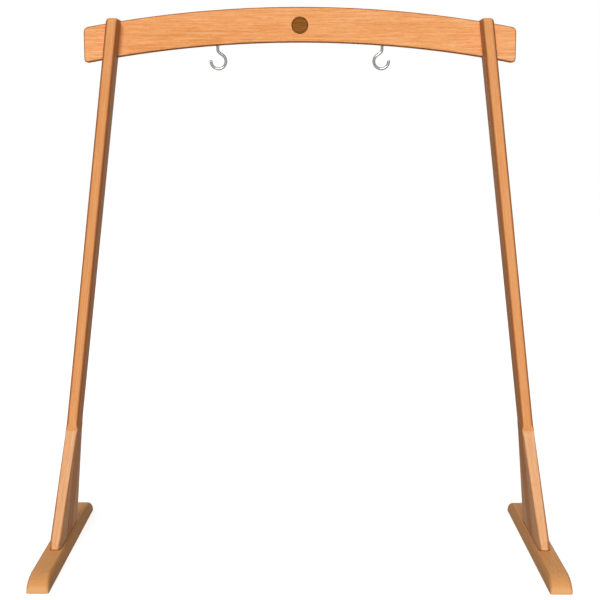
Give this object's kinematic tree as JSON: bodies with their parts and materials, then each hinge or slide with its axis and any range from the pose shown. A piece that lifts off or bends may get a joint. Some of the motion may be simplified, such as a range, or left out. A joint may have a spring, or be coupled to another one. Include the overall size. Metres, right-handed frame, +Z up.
{
  "type": "gong stand",
  "caption": "Free-standing beech gong stand: inward-leaning posts on runner feet carry an arched crossbeam with screw hooks for hanging a gong between the posts.",
  "frame": {"origin": "on the floor, under the middle of the stand", "axes": "+Z up, +X to the right as seen from the front, +Y to the rear, where the crossbeam is"},
  "size_m": [1.112, 0.52, 1.1872],
  "materials": {
    "beech": "oiled, satin",
    "pale_beech": "oiled, satin, a paler piece of the same wood",
    "dark_wood": "stained, satin",
    "bright_steel": "bright zinc plated wire",
    "zinc_steel": "zinc plated",
    "brass": "turned"
  },
  "bodies": {
    "frame": {"crossbeam": "beech", "beam_inlay": "dark_wood", "left_post": "beech", "right_post": "beech", "left_foot": "beech", "right_foot": "beech", "left_front_gusset": "pale_beech", "left_rear_gusset": "pale_beech", "right_front_gusset": "pale_beech", "right_rear_gusset": "pale_beech", "left_front_foot_bolt": "zinc_steel", "left_rear_foot_bolt": "zinc_steel", "right_front_foot_bolt": "zinc_steel", "right_rear_foot_bolt": "zinc_steel", "left_front_foot_washer": "zinc_steel", "left_rear_foot_washer": "zinc_steel", "right_front_foot_washer": "zinc_steel", "right_rear_foot_washer": "zinc_steel", "left_front_foot_insert": "brass", "left_rear_foot_insert": "brass", "right_front_foot_insert": "brass", "right_rear_foot_insert": "brass", "left_lower_beam_bolt": "zinc_steel", "left_upper_beam_bolt": "zinc_steel", "right_lower_beam_bolt": "zinc_steel", "right_upper_beam_bolt": "zinc_steel", "left_lower_beam_insert": "brass", "left_upper_beam_insert": "brass", "right_lower_beam_insert": "brass", "right_upper_beam_insert": "brass"},
    "left_hook": {"left_hook": "bright_steel"},
    "right_hook": {"right_hook": "bright_steel"}
  },
  "joints": [
    {"name": "left_hook_turn", "type": "hinge", "parent": "frame", "child": "left_hook", "pos_m": [-0.174, 0.0175, 1.108], "axis": [0, 0, 1], "range_deg": [-90, 90]},
    {"name": "right_hook_turn", "type": "hinge", "parent": "frame", "child": "right_hook", "pos_m": [0.174, 0.0175, 1.108], "axis": [0, 0, 1], "range_deg": [-90, 90]}
  ]
}
